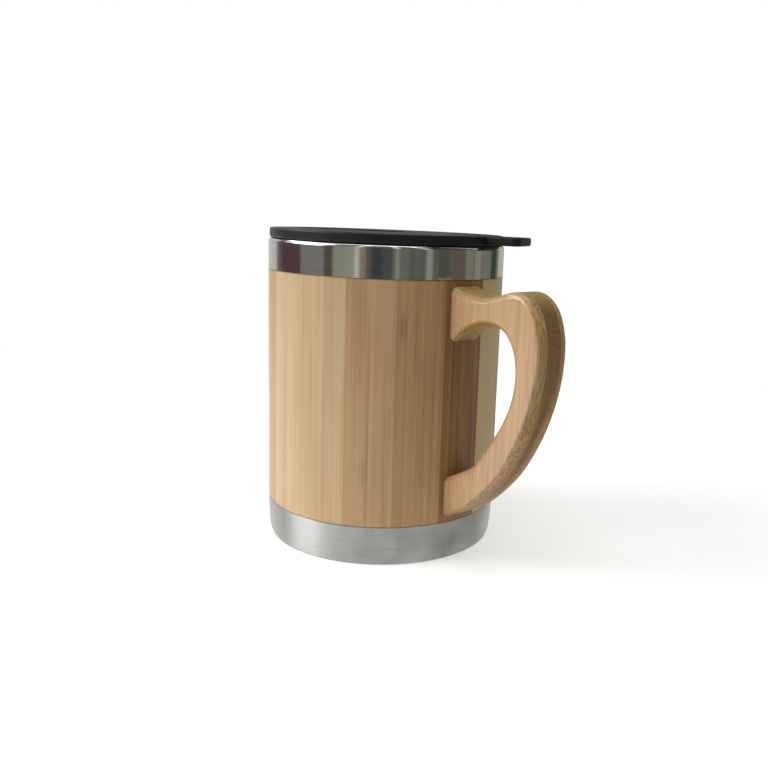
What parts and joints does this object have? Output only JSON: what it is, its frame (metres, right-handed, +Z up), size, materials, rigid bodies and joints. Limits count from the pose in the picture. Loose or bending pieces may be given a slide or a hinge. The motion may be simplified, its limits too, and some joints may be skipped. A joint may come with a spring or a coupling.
{
  "type": "lidded mug",
  "caption": "Handled mug with a steel liner in a bamboo stave sleeve, a steel band and base, a laminated bamboo handle and a push-in lid with a sip slider.",
  "frame": {"origin": "centre of the foot, on the surface that the cup stands on", "axes": "+Z up along the cup's axis, +X towards the handle, +Y to the right as seen from the handle's side"},
  "size_m": [0.1335, 0.0914, 0.12],
  "materials": {
    "satin_steel": "satin stainless steel, drawn",
    "polished_steel": "mirror-polished stainless steel",
    "brushed_steel": "stainless steel brushed round the cup",
    "bamboo_light": "pale lacquered bamboo, upright grain",
    "bamboo_mid": "tan lacquered bamboo, upright grain",
    "bamboo_dark": "browned lacquered bamboo, upright grain",
    "handle_bamboo": "lacquered bamboo ply, upright grain, end grain on the curves",
    "handle_core_bamboo": "browned bamboo ply",
    "zinc_steel": "zinc-plated screw steel",
    "clear_silicone": "milky silicone",
    "black_plastic": "black moulded plastic, satin",
    "slider_plastic": "charcoal moulded plastic, satin"
  },
  "bodies": {
    "cup": {"inner_liner": "satin_steel", "rim_band": "polished_steel", "base_cap": "brushed_steel", "stave_01": "bamboo_dark", "stave_02": "bamboo_mid", "stave_03": "bamboo_mid", "stave_04": "bamboo_mid", "stave_05": "bamboo_light", "stave_06": "bamboo_mid", "stave_07": "bamboo_mid", "stave_08": "bamboo_mid", "stave_09": "bamboo_light", "stave_10": "bamboo_mid", "stave_11": "bamboo_mid", "stave_12": "bamboo_mid", "stave_13": "bamboo_light", "stave_14": "bamboo_light", "stave_15": "bamboo_mid", "stave_16": "bamboo_dark", "handle_left_ply": "handle_bamboo", "handle_core_ply": "handle_core_bamboo", "handle_right_ply": "handle_bamboo", "upper_handle_screw": "zinc_steel", "lower_handle_screw": "zinc_steel"},
    "lid_seal": {"lid_gasket": "clear_silicone"},
    "lid": {"lid_body": "black_plastic"},
    "slider": {"sip_slider": "slider_plastic", "slider_clip": "slider_plastic"}
  },
  "joints": [
    {"name": "lid_lift", "type": "slide", "parent": "cup", "child": "lid_seal", "axis": [0, 0, 1], "range_m": [0, 0.08]},
    {"name": "lid_turn", "type": "hinge", "parent": "lid_seal", "child": "lid", "pos_m": [0, 0, 0.1164], "axis": [0, 0, 1], "continuous": true},
    {"name": "sip_slide", "type": "slide", "parent": "lid", "child": "slider", "axis": [0.9118, 0.4107, 0], "range_m": [0, 0.012]}
  ]
}
